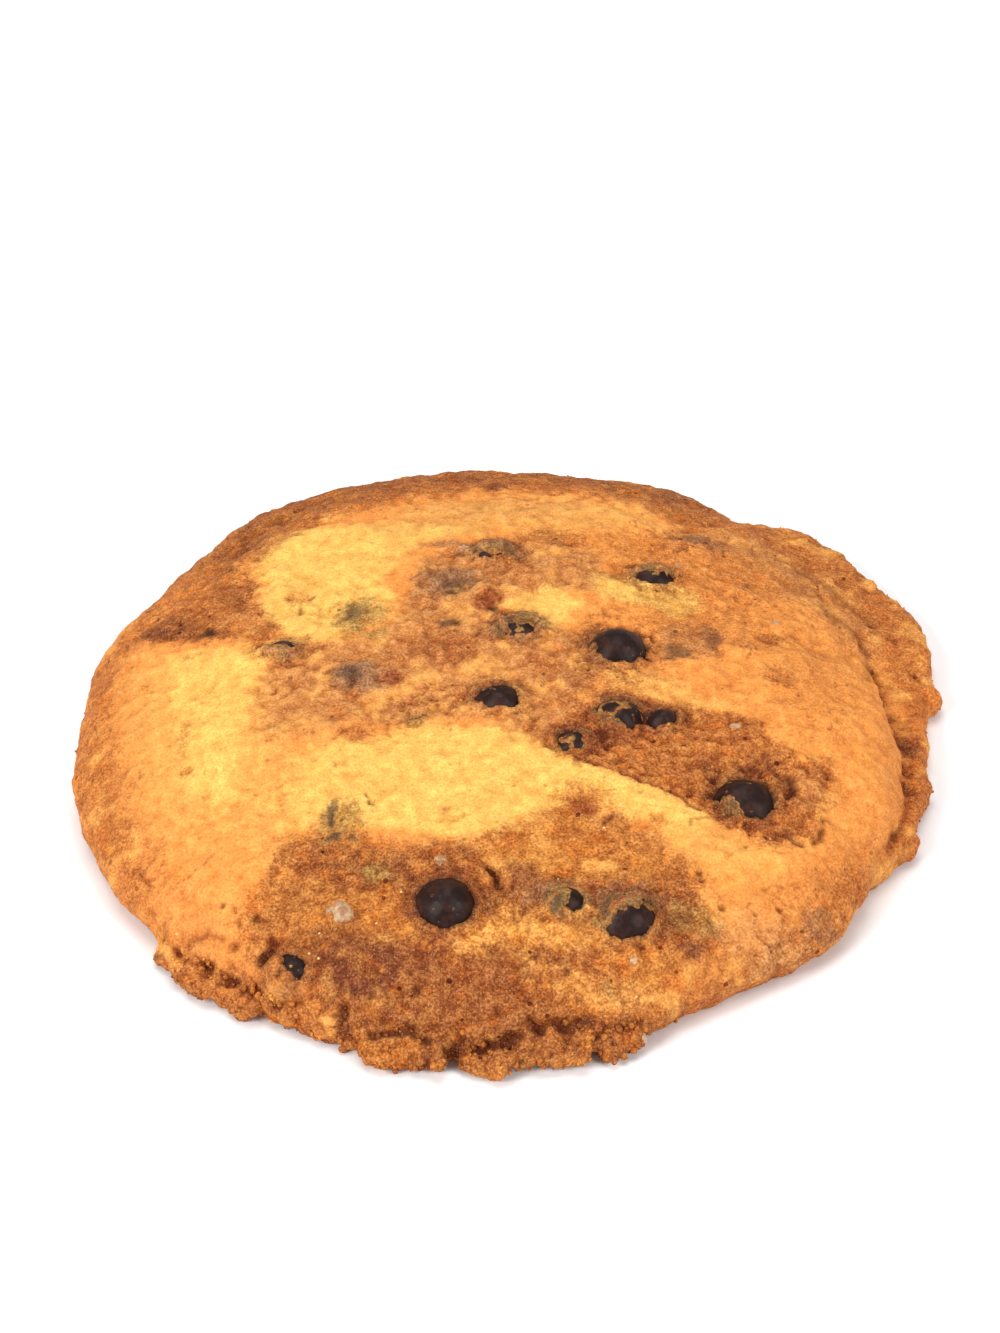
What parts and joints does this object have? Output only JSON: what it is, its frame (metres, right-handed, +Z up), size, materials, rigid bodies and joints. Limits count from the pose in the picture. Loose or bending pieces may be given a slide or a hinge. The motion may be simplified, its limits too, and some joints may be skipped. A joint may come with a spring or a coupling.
{
  "type": "cookie",
  "caption": "Large round baked cookie with a low marbled dome, a crumbly foot and chocolate chips pressed into its top.",
  "frame": {"origin": "middle of the cookie's box, on the flat face it rests on", "axes": "+Z up out of the domed top; +X to the right and +Y to the back as the picture shows the cookie, so the crumbly lumps of the foot are on the -Y side"},
  "size_m": [0.1014, 0.1042, 0.0156],
  "materials": {
    "dough": "matt baked dough, marbled pale yellow and brown, with a fine crumb",
    "chip": "dark chocolate with a satin surface"
  },
  "bodies": {
    "root": {"dough": "dough", "chip_front_round": "chip", "chip_front_crumbed": "chip", "chip_front_crescent": "chip", "chip_right": "chip", "chip_back_large": "chip", "chip_middle_crescent": "chip", "chip_middle_small": "chip", "chip_middle_toasted": "chip", "chip_centre": "chip", "chip_left_edge": "chip", "chip_behind_centre": "chip", "chip_back_right": "chip", "chip_back_streak": "chip", "chip_foot_left": "chip"}
  },
  "joints": []
}
